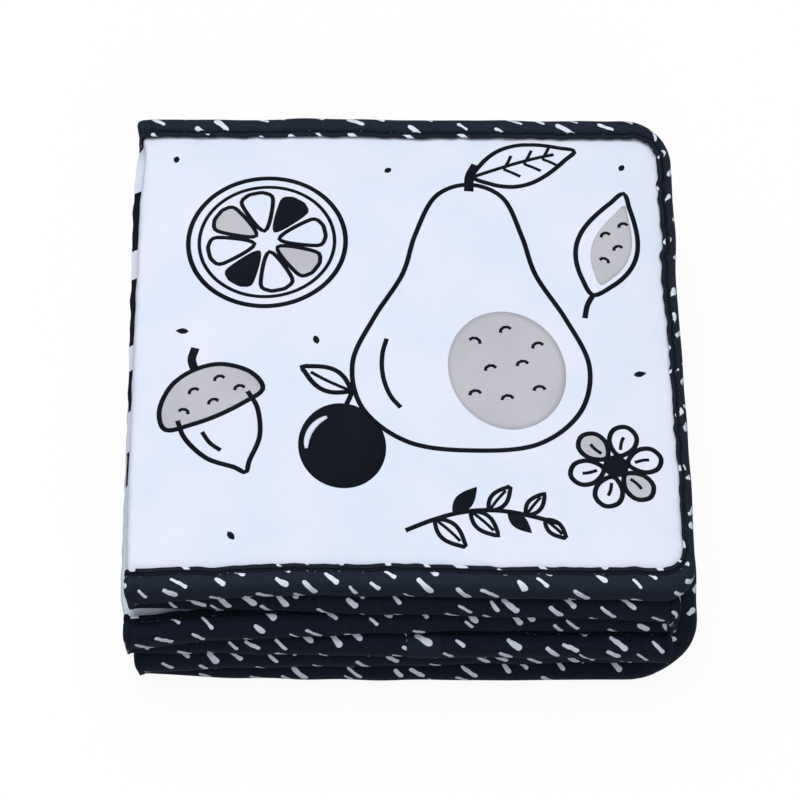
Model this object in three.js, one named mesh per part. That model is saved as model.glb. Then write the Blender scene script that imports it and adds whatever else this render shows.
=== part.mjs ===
// A soft cloth book for babies: six padded pages in one strip, folded in a zigzag and bound
// all round with tape. It lies closed, with page 1 on top and page 6 on the table.
// Lengths are in millimetres. X runs from the left folds to the free ends, Y runs from the
// front edge to the back edge and Z is up from the table.
import * as THREE from 'three';

// Sizes of the folded book
const page_depth = 180; // outer edge of the front binding to that of the back one
const page_pitch = 9.4; // from one page's middle plane to the next
const first_end_x = 92.4; // the free end of page 1
const last_end_x = 97.1; // the free end of page 6, which sticks out a little
const first_front_radius = 11.5; // of page 1's free corner at the front
const first_back_radius = 17;
const last_corner_radius = 24; // of both free corners of page 6
const least_corner_radius = 3; // of the innermost rings of a padded layer

// How far each page's front edge lies in front of page 1's, from the top page down
const page_forward = [0, 1.2, 3.8, 6.2, 5, 5.6];

// The lines that the folds turn about, from fold 1-2 down to fold 5-6. A soft strip without
// padding joins two pages there, so each line stands off from the pages' edges.
const fold_line_x = [-89.1, 90.9, -92, 90.9, -88.8];
const fold_stand_off = 6.6;
const fold_squash_share = 0.6; // how far a closed fold sticks out, of a round one's reach

// A padded page's section, ring by ring from the rim to the middle
const crown_half = 4.5; // half of the full thickness
const bound_border = 40; // from a long bound edge in to the full thickness
const free_end_border = 26; // the same from the free end, where the tape is narrower
const fold_border = 24; // from a fold in to the full thickness
const bound_ring_shares = [0.065, 0.11, 0.225, 0.265, 0.35, 0.55, 1];
const fold_ring_shares = [0, 0.04, 0.1, 0.16, 0.3, 0.55, 1];
const ring_height_shares = [0.2, 0.54, 0.545, 0.72, 0.87, 0.955, 1];
const first_padded_ring = 3; // pad and film begin inside the stitched border

const cloth_thickness = 0.7;
const film_thickness = 0.25;
const layer_gap = 0.3; // left between pieces that touch on the real book
const rest_flat_depth = 0.5; // page 6 is pressed flat this deep where it lies on the table

// The binding tape's section
const tape_width = 8.8; // on each side of a page, from the outer edge in
const free_end_tape_width = 5.7; // round a free end the tape is folded off centre
const tape_half = 3.9; // half of the bound edge's thickness
const tape_thickness = 0.8;
const tape_lip_drop = 0.25; // the lip lies a little lower than the rolled edge
const stitch_inset = 2.3; // from the lip to the groove that the stitching pulls in
const stitch_depth_share = 0.44; // of the tape's own thickness
const stitch_groove_width = 2;
const tape_fold_half = 2.1; // half of its thickness where a fold pinches it
const nose_steps = 6; // facets round the rolled edge
const corner_steps = 7; // facets round a free corner
const fold_steps = 8; // facets round a fold

// The tape's two ends meet on the front edge of page 4, where one laps over the other
const lap_page = 4;
const lap_start_x = 1.9;
const lap_length = 11;
const lap_thickness = 0.5;

const cloth_colour = 0xdde4ee;
const tape_colour = 0x23242f;
const pad_colour = 0xf0efec;
const film_colour = 0xdfe6ea;

const page_count = page_forward.length;
const quarter_turn = Math.PI / 2;
const half_turn = Math.PI;
const book = new THREE.Group();
book.name = 'cloth_book';

// A closed mesh from points and triangles, turned so that its faces look outwards
function add_solid(name, colour, points, triangles) {
  let volume = 0;
  for (const [a, b, c] of triangles) {
    volume += points[a].dot(points[b].clone().cross(points[c]));
  }
  const outward = volume < 0 ? triangles.map(([a, b, c]) => [a, c, b]) : triangles;
  const geometry = new THREE.BufferGeometry();
  const places = points.flatMap((point) => point.toArray());
  geometry.setAttribute('position', new THREE.Float32BufferAttribute(places, 3));
  geometry.setIndex(outward.flat());
  geometry.computeVertexNormals();
  const material = new THREE.MeshStandardMaterial({ color: colour, roughness: 0.9 });
  const mesh = new THREE.Mesh(geometry, material);
  mesh.name = name;
  book.add(mesh);
}

// Triangles that join each loop of points in a row of loops to the next one
function joined_loops(loop_count, loop_size) {
  const triangles = [];
  for (let loop = 0; loop + 1 < loop_count; loop += 1) {
    const here = loop * loop_size;
    const there = here + loop_size;
    for (let i = 0; i < loop_size; i += 1) {
      const next = (i + 1) % loop_size;
      triangles.push([here + i, here + next, there + next]);
      triangles.push([here + i, there + next, there + i]);
    }
  }
  return triangles;
}

// A layer of a page between an upper and a lower stack of rings. The stacks meet at the rim,
// and their innermost rings are filled in flat.
function add_layer(name, colour, upper_rings, lower_rings) {
  const rings = [...upper_rings].reverse().concat(lower_rings);
  const size = rings[0].length;
  const triangles = joined_loops(rings.length, size);
  const last = (rings.length - 1) * size;
  for (let i = 1; i + 1 < size; i += 1) {
    triangles.push([0, i + 1, i], [last, last + i, last + i + 1]);
  }
  add_solid(name, colour, rings.flat(), triangles);
}

// A strip through a row of sections, closed at both ends. The outline is the flat shape that
// every section follows.
function add_strip(name, colour, outline, sections) {
  const size = outline.length;
  const triangles = joined_loops(sections.length, size);
  const last = (sections.length - 1) * size;
  for (const [a, b, c] of THREE.ShapeUtils.triangulateShape(outline, [])) {
    triangles.push([a, c, b], [last + a, last + b, last + c]);
  }
  add_solid(name, colour, sections.flat(), triangles);
}

// Where a page lies. Pages 1 and 2 share a left fold, 2 and 3 a right one, and so on.
function page_edge_at(fold) {
  const line = fold_line_x[fold];
  return line - Math.sign(line) * fold_stand_off;
}

function page_place(page) {
  const left_fold = 2 * Math.floor((page - 1) / 2);
  const right_fold = 2 * Math.floor(page / 2) - 1;
  const has_free_end = page === 1 || page === page_count;
  const free_end_x = page === 1 ? first_end_x : last_end_x;
  const forward = page_forward[page - 1];
  return {
    page,
    has_free_end,
    left: page_edge_at(left_fold),
    right: has_free_end ? free_end_x : page_edge_at(right_fold),
    front: -page_depth / 2 - forward,
    back: page_depth / 2 - forward,
    front_radius: page === 1 ? first_front_radius : last_corner_radius,
    back_radius: page === 1 ? first_back_radius : last_corner_radius,
    middle: crown_half - rest_flat_depth + (page_count - page) * page_pitch,
  };
}

// A quarter turn round a free corner, as points and inward directions
function corner_arc(centre_x, centre_y, reach_x, reach_y, start_angle) {
  return Array.from({ length: corner_steps + 1 }, (_, step) => {
    const angle = start_angle + (quarter_turn * step) / corner_steps;
    const out = new THREE.Vector2(Math.cos(angle), Math.sin(angle));
    const point = new THREE.Vector2(centre_x + reach_x * out.x, centre_y + reach_y * out.y);
    return { point, inward: out.negate() };
  });
}

// One ring of a page, seen from above
function page_ring(place, ring) {
  const bound_inset = bound_border * bound_ring_shares[ring];
  const end_inset = free_end_border * bound_ring_shares[ring];
  const fold_inset = fold_border * fold_ring_shares[ring];
  const left = place.left + fold_inset;
  const front = place.front + bound_inset;
  const back = place.back - bound_inset;
  if (!place.has_free_end) {
    const right = place.right - fold_inset;
    return [[left, front], [right, front], [right, back], [left, back]];
  }
  const corner = (radius, edge_y, inward, start_angle) => {
    const reach_x = Math.max(radius - end_inset, least_corner_radius);
    const reach_y = Math.max(radius - bound_inset, least_corner_radius);
    const arc_x = place.right - end_inset - reach_x;
    return corner_arc(arc_x, edge_y + inward * reach_y, reach_x, reach_y, start_angle);
  };
  const arcs = [
    ...corner(place.front_radius, front, 1, -quarter_turn),
    ...corner(place.back_radius, back, -1, 0),
  ];
  return [[left, front], ...arcs.map(({ point }) => point.toArray()), [left, back]];
}

// Height of a page's outer surface over its middle plane at each ring, above or below it
function page_surface(place, is_upper) {
  const is_pressed = place.page === page_count && !is_upper;
  const limit = is_pressed ? crown_half - rest_flat_depth : crown_half;
  return ring_height_shares.map((share) => Math.min(share * crown_half, limit));
}

function rings_at(place, heights, is_upper, first_ring) {
  const side = is_upper ? 1 : -1;
  return heights.slice(first_ring).map((height, index) => (
    page_ring(place, first_ring + index).map(([x, y]) => (
      new THREE.Vector3(x, y, place.middle + side * height)))));
}

// The two cloths, the pad and the crinkle film of a page. Strip A is the upper cloth of the
// odd pages and the lower cloth of the even ones.
function cloth_letter(page, is_upper) {
  return (page % 2 === 1) === is_upper ? 'a' : 'b';
}

function add_page_cloth(place, is_upper) {
  const outer = page_surface(place, is_upper);
  const inner = outer.map((height) => height - cloth_thickness);
  inner[0] = layer_gap / 2;
  const letter = cloth_letter(place.page, is_upper);
  add_layer(
    `page_${place.page}_cloth_${letter}`,
    cloth_colour,
    rings_at(place, outer, is_upper, 0),
    rings_at(place, inner, is_upper, 0),
  );
}

function add_page_filling(place) {
  const to_film = cloth_thickness + layer_gap;
  const to_upper_pad = to_film + film_thickness + layer_gap;
  const upper = page_surface(place, true);
  const lower = page_surface(place, false);
  const film_top = upper.map((height) => height - to_film);
  const film_bottom = film_top.map((height) => height - film_thickness);
  const pad_top = upper.map((height) => height - to_upper_pad);
  const pad_bottom = lower.map((height) => height - cloth_thickness - layer_gap);
  add_layer(
    `page_${place.page}_crinkle_film`,
    film_colour,
    rings_at(place, film_top, true, first_padded_ring),
    rings_at(place, film_bottom, true, first_padded_ring),
  );
  add_layer(
    `page_${place.page}_pad`,
    pad_colour,
    rings_at(place, pad_top, true, first_padded_ring),
    rings_at(place, pad_bottom, false, first_padded_ring),
  );
}

// The tape's folded section: inset from the outer edge, and height over the middle plane
function folded_tape(half, thickness, nose, width) {
  const arc = (reach, rise) => Array.from({ length: nose_steps + 1 }, (_, step) => {
    const angle = quarter_turn - (half_turn * step) / nose_steps;
    return new THREE.Vector2(nose - reach * Math.cos(angle), rise * Math.sin(angle));
  });
  const lip = half - tape_lip_drop;
  const inner_lip = lip - thickness;
  const groove = width - stitch_inset;
  const flap = [
    [width, lip],
    [groove + stitch_groove_width / 2, lip],
    [groove, lip - stitch_depth_share * thickness],
    [groove - stitch_groove_width / 2, lip],
  ];
  return [
    ...flap.map(([inset, rise]) => new THREE.Vector2(inset, rise)),
    ...arc(nose, half),
    ...flap.reverse().map(([inset, rise]) => new THREE.Vector2(inset, -rise)),
    new THREE.Vector2(width, -inner_lip),
    ...arc(nose - thickness, half - thickness).reverse(),
    new THREE.Vector2(width, inner_lip),
  ];
}

const tape_section = folded_tape(tape_half, tape_thickness, tape_half, tape_width);

// The tape along the two long edges of an inner page
function add_straight_tape(name, place, edge_y, inward, section, ends) {
  const sections = ends.map((x) => section.map((spot) => (
    new THREE.Vector3(x, edge_y + inward * spot.x, place.middle + spot.y))));
  add_strip(name, tape_colour, section, sections);
}

// The tape round the two long edges and the free end of page 1 or page 6
function add_end_tape(place) {
  const corner = (radius, edge_y, inward, start_angle) => (
    corner_arc(place.right - radius, edge_y + inward * radius, radius, radius, start_angle));
  const path = [
    { point: new THREE.Vector2(place.left, place.front), inward: new THREE.Vector2(0, 1) },
    ...corner(place.front_radius, place.front, 1, -quarter_turn),
    ...corner(place.back_radius, place.back, -1, 0),
    { point: new THREE.Vector2(place.left, place.back), inward: new THREE.Vector2(0, -1) },
  ];
  const sections = path.map(({ point, inward }) => {
    const end_share = inward.x ** 2;
    const width = THREE.MathUtils.lerp(tape_width, free_end_tape_width, end_share);
    return folded_tape(tape_half, tape_thickness, tape_half, width).map((spot) => {
      const at = point.clone().addScaledVector(inward, spot.x);
      return new THREE.Vector3(at.x, at.y, place.middle + spot.y);
    });
  });
  add_strip(`page_${place.page}_binding`, tape_colour, tape_section, sections);
}

// A fold: a strip that leaves the upper page's edge, bends round and reaches the lower page.
// The shape gives each section as distances in from the edges and outwards from the middle
// of the two layers of cloth.
function fold_sections(fold, shape_at) {
  const side = Math.sign(fold_line_x[fold]);
  const upper = page_place(fold + 1);
  const lower = page_place(fold + 2);
  const middle = (upper.middle + lower.middle) / 2;
  const edge_x = page_edge_at(fold) + side * layer_gap;
  return Array.from({ length: fold_steps + 1 }, (_, step) => {
    const share = step / fold_steps;
    const angle = half_turn * share;
    const shift = THREE.MathUtils.lerp(upper.front, lower.front, share) - upper.front;
    return shape_at(angle, upper).map(({ y, out }) => {
      const radius = page_pitch / 2 + out;
      const reach = fold_squash_share * radius * Math.sin(angle);
      return new THREE.Vector3(
        edge_x + side * reach, y + shift, middle + radius * Math.cos(angle));
    });
  });
}

function add_fold_cloth(fold, is_outer) {
  const rim = bound_border * bound_ring_shares[0];
  const near = layer_gap / 2;
  const far = ring_height_shares[0] * crown_half;
  const [low, high] = is_outer ? [near, far] : [-far, -near];
  const shape_at = (_, place) => {
    const front = place.front + rim;
    const back = place.back - rim;
    return [
      { y: front, out: low },
      { y: back, out: low },
      { y: back, out: high },
      { y: front, out: high },
    ];
  };
  const outline = shape_at(0, page_place(fold + 1)).map(({ y, out }) => new THREE.Vector2(y, out));
  const letter = cloth_letter(fold + 1, is_outer);
  const name = `fold_${fold + 1}_${fold + 2}_cloth_${letter}`;
  add_strip(name, cloth_colour, outline, fold_sections(fold, shape_at));
}

function add_fold_tape(fold, end_name) {
  const inward = end_name === 'front' ? 1 : -1;
  const shape_at = (angle, place) => {
    const open_share = Math.cos(angle) ** 2;
    const half = THREE.MathUtils.lerp(tape_fold_half, tape_half, open_share);
    const section = folded_tape(half, tape_thickness, tape_half, tape_width);
    return section.map((spot) => ({ y: place[end_name] + inward * spot.x, out: spot.y }));
  };
  const name = `fold_${fold + 1}_${fold + 2}_${end_name}_binding`;
  add_strip(name, tape_colour, tape_section, fold_sections(fold, shape_at));
}

// All six pages
for (let page = 1; page <= page_count; page += 1) {
  const place = page_place(page);
  add_page_cloth(place, true);
  add_page_cloth(place, false);
  add_page_filling(place);
  if (place.has_free_end) {
    add_end_tape(place);
  } else {
    const ends = [place.left, place.right];
    add_straight_tape(
      `page_${page}_front_binding`, place, place.front, 1, tape_section, ends);
    add_straight_tape(
      `page_${page}_back_binding`, place, place.back, -1, tape_section, ends);
  }
}

// All five folds
for (let fold = 0; fold < fold_line_x.length; fold += 1) {
  add_fold_cloth(fold, true);
  add_fold_cloth(fold, false);
  add_fold_tape(fold, 'front');
  add_fold_tape(fold, 'back');
}

// The lap over the tape's join
const lap_rise = layer_gap + lap_thickness;
const lap_place = page_place(lap_page);
const lap_section = folded_tape(
  tape_half + lap_rise, lap_thickness, tape_half + lap_rise, tape_width + lap_rise);
add_straight_tape(
  'binding_end_lap',
  lap_place,
  lap_place.front - lap_rise,
  1,
  lap_section,
  [lap_start_x, lap_start_x + lap_length],
);

// The book stands on the origin, with the middle of its outline over it
const box = new THREE.Box3().setFromObject(book);
const centre = box.getCenter(new THREE.Vector3());
for (const mesh of book.children) {
  mesh.geometry.translate(-centre.x, -centre.y, -box.min.z);
}

export default book;
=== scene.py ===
"""Looks of a folded cloth book for babies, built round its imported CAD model.

Sizes are in millimetres, in the CAD model's frame, until a mesh is made. X runs from the left
folds to the free ends, Y from the front edge to the back edge, and Z is up.
"""
import math
import random

import bpy
import numpy as np
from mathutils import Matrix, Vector
from mathutils.bvhtree import BVHTree


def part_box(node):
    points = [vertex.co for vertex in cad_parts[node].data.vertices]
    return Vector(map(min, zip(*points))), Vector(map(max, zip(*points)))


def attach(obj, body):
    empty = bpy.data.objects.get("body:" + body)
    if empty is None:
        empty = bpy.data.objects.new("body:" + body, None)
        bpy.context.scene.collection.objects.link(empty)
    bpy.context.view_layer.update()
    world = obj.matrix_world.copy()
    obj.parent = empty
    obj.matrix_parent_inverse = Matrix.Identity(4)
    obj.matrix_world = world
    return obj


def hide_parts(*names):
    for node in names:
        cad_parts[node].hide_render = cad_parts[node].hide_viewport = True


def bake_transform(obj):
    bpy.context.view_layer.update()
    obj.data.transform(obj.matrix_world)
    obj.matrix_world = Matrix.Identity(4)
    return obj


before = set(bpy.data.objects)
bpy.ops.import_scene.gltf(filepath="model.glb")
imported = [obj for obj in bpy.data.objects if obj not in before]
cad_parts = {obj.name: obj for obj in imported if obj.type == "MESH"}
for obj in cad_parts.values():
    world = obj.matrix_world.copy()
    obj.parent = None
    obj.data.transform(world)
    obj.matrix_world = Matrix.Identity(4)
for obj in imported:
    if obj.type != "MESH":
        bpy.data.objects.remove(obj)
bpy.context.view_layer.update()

MM = 0.001
PAGE_COUNT = 6

# Camera, fitted to the photograph
CAMERA_PLACE = (-7.2, -585.7, 1008.9)
CAMERA_AZIMUTH = 0.38
CAMERA_ELEVATION = 59.23
CAMERA_LENS = 155.35
CAMERA_SENSOR = 36
CAMERA_NEAREST = 50

# Pages
CROWN = 4.42  # half of a page's thickness in the middle
COVER_STEP = 3.2
COVER_INSET = 2.6  # the cloth's edge lies inside the tape
COVER_END_INSET = 2.08  # the same at a free end
COVER_CORNER_SHRINK = 2
RESTING_RISE = 3.85  # of page 6's underside, which lies on the table
# Height of the cloth at distances in from the tape's lip and from a fold
LIP_RISES = [(-9, 0.7), (-6, 1.7), (-2, 2.4), (0, 2.7), (1.5, 3.3), (5, 3.9), (12, 4.28), (30, CROWN)]
FOLD_RISES = [(0, 3.1), (2, 3.6), (6, 4.1), (14, 4.36), (30, CROWN)]
FOLD_CALM = (2, 14)  # beside a fold the cloth is smooth: where that ends, and within what length
FAR_INSIDE = 60  # further in than the tables of rises reach

# Binding tape
TAPE_HALF = 4.4  # half of the rolled edge's thickness
TAPE_WIDTHS = {"front": 8.5, "back": 8.6}
END_TAPE_WIDTHS = {1: (3.8, 5.4), PAGE_COUNT: (9.0, 9.0)}  # of a free end, at its front and back
TAPE_THICKNESS = 0.6
TAPE_PIECE = 731  # along the tape from one page's pattern to the next one's
LIP_DROP = 0.35
LIP_ROUNDING = 0.12
FLAP_SWELLS = (0.08, 0.12)  # behind the lip, and before the groove
FLAP_RUN = 0.5  # from the lip, and from the groove, to where the flap is level
NOSE_DEPTH = 4.4
NOSE_STEPS = 14
NOSE_SQUARENESS = 2.3
STITCH_PITCH = 2.5
STITCH_INSET = 2.3  # from the lip
GROOVE_DEPTH = 0.6
GROOVE_FLAT_SHARE = 0.72  # of its depth, between two stitches
GROOVE_HALF = 0.7
GROOVE_SLOPE = (0.4, 0.6)  # shares of its half width and of its depth, half way down
GROOVE_EASE = 0.3  # from the groove to where the flap swells most
GROOVE_RIM = 0.6  # of the lip's drop, beyond the groove
NOSE_START = 0.04  # under the tape's full height, where the rolled edge begins
INSIDE_POINTS = 3  # of the section, inside the folded tape
OUTER_CORNERS = {1: (11, 17), PAGE_COUNT: (24, 24)}  # radii of the free corners, front and back
LIP_CORNERS = {1: (8, 8), PAGE_COUNT: (16, 16)}
WAVE_FADE = 12  # within it the waves of a run of tape die away at its ends
END_LIP_WAVE = 1.6  # how much more the lip waves round a free end
THREAD_RADIUS = 0.3
THREAD_SIDES = 6
THREAD_STEPS = 5
THREAD_ARCH = 0.28
THREAD_SINK = 0.6  # of the arch
STITCH_SHARES = (0.06, 0.94)  # of a stitch's length, where its thread shows
STITCH_ENDS = (0.12, 0.88)  # the same for its thickness, which thins at both ends
FIRST_STITCH = 1.0

# About how long and how high the small irregular waves of slack cloth are
WAVES = {
    "lip": (9, 0.16), "width": (45, 0.25), "edge": (34, 0.22), "top": (22, 0.1), "crease": (40, 0.12),
    "fold_tape": (9, 0.25), "fold_cloth": (11, 0.25), "pucker": (5.5, 0.12), "end_pucker": (5.5, 0.2),
    "reach": (25, 2), "soft_x": (60, 0.12), "soft_y": (55, 1),
}
WAVE_COUNT = 5
WAVE_STRETCHES = (0.6, 1.7)
WAVE_SPREAD = 2.6  # about how high the sum of the waves comes

# How far each page's front edge lies in front of its CAD solid's, at places along X
FRONT_LINES = {
    1: [(-87, 0.4), (-66, -0.2), (-26, -1.2), (21, 0.3), (46, 0.9), (77, 1.7), (90, 1.9)],
    2: [(-86, -3.5), (-76, -3.3), (-61, -2.6), (-45, -1.8), (-26, -0.9), (2, 0), (21, 0.8),
        (46, 1.4), (67, 1.9), (82, 2)],
    3: [(-86, 2.8), (-67, 1.5), (-42, 0.3), (-26, -0.2), (-4, -1.1), (21, -1.5), (82, -1)],
    4: [(-90, -2.2), (-68, -1.5), (-52, -1), (-26, -0.5), (-4, 0.3), (28, 0.9), (82, 2)],
    5: [(-88, 0.7), (-52, 0.3), (-4, 0.1), (41, -0.6), (60, -0.5), (82, -1)],
    6: [(-87, -3.3), (-69, -1.7), (-52, -0.7), (-20, 0), (28, 0.5), (60, 0.6), (72, 0.2), (90, 0.6)],
}
# How far the back edges lie behind their CAD places, at places along X
BACK_LINES = {
    1: [(-87, 2.0), (-70, 1.2), (-36, 1.3), (-2, 0.6), (31, -0.3), (50, -0.2), (65, -0.9),
        (80, -0.7)],
    2: [(-87, 2.0), (-70, 1.2), (-36, 1.3), (40, 0)],
}
# How far the free ends lie beyond their CAD places, at places along Y
END_LINES = {
    1: [(-66, 0.1), (-46, 0.3), (-16, -0.1), (14, -0.6), (30, -0.8), (46, -0.4), (84, -0.4)],
    6: [(-20, 0), (12, -0.3), (44, -0.8), (60, -1), (80, -0.8)],
}
# How much wider a page's front tape is, at places along X
LIP_LINES = {3: [(-90, -1.0), (-78, -0.3), (-64, 0)]}
LINE_ROUNDING = 5
LINE_SAMPLES = 5
PAGE_TILT = 0.4  # odd pages lie this much lower at the left folds and higher at the right
TILT_REACH = 88
OVERLAP_RUN = 28  # near a fold the upper page's rolled edge swells over the lower one's
OVERLAP_DROP = 2.9
OVERLAP_DEPTH = 16
CREASE_GAP = 0.2

# Folds
FOLD_STEPS = 14
# How far each fold sticks out past its pages' edges: its front tape, cloth and back tape
FOLD_REACHES = {1: (3.6, 5.2, 5.3), 2: (3.2, 2.6, 2.9), 3: (2.1, 4.0, 2.9), 4: (1.9, 1.8, 2.4),
                5: (2.8, 3.2, 3.3)}
FOLD_BULGES = {1: [(-80, -0.3), (-40, 0), (5, 0.6), (60, 1.2), (80, 0.8)]}
# How far the first fold's upper half sticks out, at places along Y: its lower half shows beside it
UPPER_REACHES = {1: [(-92, 3.8), (-82, 3.6), (-50, 4.2), (0, 4.1), (62, 3.8), (76, 2.9), (84, 2.4),
                     (91, 5.4)]}
FOLD_GAP_ANGLES = {"tape": 13, "outer": 16, "inner": 24}  # of the step across the fold's middle
STEPPED_GAP_ANGLES = {"tape": 1, "outer": 2.5, "inner": 1.2}  # where the lower half sticks out
FOLD_END_RUN = 16  # within it the cloth's reach passes over to the tape's
FOLD_POWERS = {"front": 0.3, "back": 0.45, "cloth": 0.6}  # 1 for a round fold, less for a squarer one
FOLD_COVER_PINCH = 1.3  # half the thickness of a fold's two cloths at its middle
FOLD_TAPE_INNER = 1.0  # from the fold's crease to the tape's inner lip at its middle
FOLD_NOSE_SQUARENESS = 5
FOLD_TAPE_PINCH = 1.4  # how much a fold's tape is pressed in at its middle
FOLD_UNDER_TAPE = 1.8  # how far a fold's cloth goes on under the tape
FOLD_WAVE_RUN = 6  # millimetres of a tape's wave for each radian round a fold
FOLD_ROW_STEP = 2.2
# Rows of a fold's cloth on its pages: how far from the fold, and how high over the page
FOLD_FLAP_INSETS = (7, 4.6, 2.4)
FOLD_FLAP_RISES = (-0.35, -0.02, 0.08)
COVER_CLOTH_THICKNESS = 0.6
# Black blocks on the outer cloth of the first fold, as places along Y
FOLD_BLOCKS = [(44.6, 68), (7.5, 33.4), (-17.4, -1.9), (-45.1, -32.6)]
BLOCK_FIRST_ROW = 5  # round the fold, from the upper page's edge


def smooth_step(value):
    """From 0 to 1 with flat ends, for a number or an array."""
    share = np.clip(value, 0.0, 1.0)
    return share * share * (3 - 2 * share)


def read_table(table, places):
    """A table of (place, value) read at places."""
    xs, ys = zip(*table)
    return np.interp(places, xs, ys)


def smooth_table(table, places):
    """The same with rounded bends."""
    places = np.asarray(places, float)
    offsets = np.linspace(-LINE_ROUNDING, LINE_ROUNDING, LINE_SAMPLES)
    return sum(read_table(table, places + offset) for offset in offsets) / LINE_SAMPLES


def wave(places, seed, kind):
    """Gentle irregular waves along a line."""
    length, size = WAVES[kind]
    picker = random.Random(seed)
    total = 0
    for _ in range(WAVE_COUNT):
        scale = length * picker.uniform(*WAVE_STRETCHES)
        total = total + np.sin(2 * math.pi * (np.asarray(places, float) / scale + picker.random()))
    return size * total / WAVE_SPREAD


def read_points(mesh):
    places = np.empty(len(mesh.vertices) * 3)
    mesh.vertices.foreach_get("co", places)
    return places.reshape(-1, 3)


def add_object(name, data):
    thing = bpy.data.objects.new(name, data)
    bpy.context.scene.collection.objects.link(thing)
    return thing


def make_mesh(name, points, faces, materials, face_slots=None, uvs=None, flat_faces=0):
    """An object from points in millimetres. uvs has one pair for each point.

    Its faces are smooth-shaded, apart from the last ones, as many as flat_faces says.
    """
    mesh = bpy.data.meshes.new(name)
    mesh.from_pydata((np.asarray(points) * MM).tolist(), [], faces)
    for material in materials:
        mesh.materials.append(material)
    smooth = len(faces) - flat_faces
    mesh.polygons.foreach_set("use_smooth", [True] * smooth + [False] * flat_faces)
    if face_slots is not None:
        mesh.polygons.foreach_set("material_index", face_slots)
    if uvs is not None:
        corner_points = np.empty(len(mesh.loops), int)
        mesh.loops.foreach_get("vertex_index", corner_points)
        layer = mesh.uv_layers.new(name="cloth_mm")
        layer.data.foreach_set("uv", np.asarray(uvs, float)[corner_points].ravel())
    mesh.update()
    turn_outward(mesh)
    return add_object(name, mesh)


def turn_outward(mesh):
    """Turns a closed mesh's faces outwards."""
    mesh.calc_loop_triangles()
    corners = np.empty(len(mesh.loop_triangles) * 3, int)
    mesh.loop_triangles.foreach_get("vertices", corners)
    a, b, c = read_points(mesh)[corners.reshape(-1, 3).T]
    if np.einsum("ij,ij->i", a, np.cross(b, c)).sum() < 0:
        mesh.flip_normals()


def tube_faces(rows, size):
    """Faces between rows of closed loops of points, with a cap on each end."""
    faces = [(row * size + i, row * size + (i + 1) % size,
              (row + 1) * size + (i + 1) % size, (row + 1) * size + i)
             for row in range(rows - 1) for i in range(size)]
    last = (rows - 1) * size
    for i in range(cap_faces(size) // 2):
        j = size - 1 - i
        faces += [(i, j, j - 1, i + 1), (last + i, last + i + 1, last + j - 1, last + j)]
    return faces


def cap_faces(size):
    """How many faces close the two ends of such a tube."""
    return 2 * ((size + 1) // 2 - 1)


def grid_faces(columns, rows, base=0, flip=False):
    """Faces of a grid of points, column by column."""
    order = (1, rows + 1, rows, 0) if flip else (0, rows, rows + 1, 1)
    corners = [base + i * rows + j for i in range(columns - 1) for j in range(rows - 1)]
    return [tuple(corner + step for step in order) for corner in corners]


def rim_loop(columns, rows):
    """The grid's rim, once round."""
    front = [i * rows for i in range(columns)]
    right = [(columns - 1) * rows + j for j in range(1, rows)]
    back = [i * rows + rows - 1 for i in range(columns - 2, -1, -1)]
    return front + right + back + list(range(rows - 2, 0, -1))


def rim_faces(rim, half):
    """Faces between the rims of two like skins, the second one's points half further on."""
    return [(b, a, a + half, b + half) for a, b in zip(rim, rim[1:] + rim[:1])]


def along(points):
    steps = np.linalg.norm(np.diff(points, axis=0), axis=1)
    return np.concatenate([[0], np.cumsum(steps)])


# Where the pages lie
def box_mm(node):
    low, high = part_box(node)
    return [v / MM for v in low], [v / MM for v in high]


def read_page(page):
    """Where a page's solids lie."""
    has_free_end = page in (1, PAGE_COUNT)
    low, high = box_mm(f"page_{page}_binding" if has_free_end else f"page_{page}_front_binding")
    back = high[1] if has_free_end else box_mm(f"page_{page}_back_binding")[1][1]
    return {
        "left": low[0], "right": high[0], "front": low[1], "back": back,
        "mid": (low[2] + high[2]) / 2, "has_free_end": has_free_end,
    }


PAGES = {page: read_page(page) for page in range(1, PAGE_COUNT + 1)}


def mid_height(page, x):
    """The soft page's middle plane."""
    x = np.asarray(x, float)
    tilt = PAGE_TILT * x / TILT_REACH if page % 2 else 0 * x
    return PAGES[page]["mid"] + tilt


def front_shift(page, x, y):
    """How far a point of the page lies in front of its place on the straight page."""
    place = PAGES[page]
    share = smooth_step((place["back"] - np.asarray(y)) / (place["back"] - place["front"]))
    shift = smooth_table(FRONT_LINES[page], x) * share
    if page in BACK_LINES:
        shift = shift - smooth_table(BACK_LINES[page], x) * (1 - share)
    return shift


def end_shift(page, x, y):
    """How far a point of the page lies to the right of its place on the straight page."""
    if page not in END_LINES:
        return 0
    place = PAGES[page]
    share = (np.asarray(x) - place["left"]) / (place["right"] - place["left"])
    return smooth_table(END_LINES[page], y) * smooth_step(share * 2 - 1)


def settle(page, x, y, rise):
    """A point of a page, from its place on the straight page and its height over the middle."""
    x, y, rise = np.broadcast_arrays(*(np.asarray(v, float) for v in (x, y, rise)))
    return np.stack([x + end_shift(page, x, y), y - front_shift(page, x, y),
                     mid_height(page, x) + rise], -1)


def fold_side(fold):
    """-1 for the folds on the left, 1 for those on the right."""
    return -1 if fold % 2 else 1


def fold_edge(fold):
    return PAGES[fold]["left" if fold_side(fold) < 0 else "right"]


def fold_level(fold):
    return (PAGES[fold]["mid"] + PAGES[fold + 1]["mid"]) / 2


def crease_height(fold, x, behind_lip):
    """Height of the crease between a page and the next one down."""
    between = (mid_height(fold, x) + mid_height(fold + 1, x)) / 2
    near_fold = 1 - smooth_step(np.abs(x - fold_edge(fold)) / OVERLAP_RUN)
    near_edge = 1 - smooth_step(np.asarray(behind_lip, float) / OVERLAP_DEPTH)
    return between - OVERLAP_DROP * near_fold * near_edge + wave(x, fold, "crease") * near_edge


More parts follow.
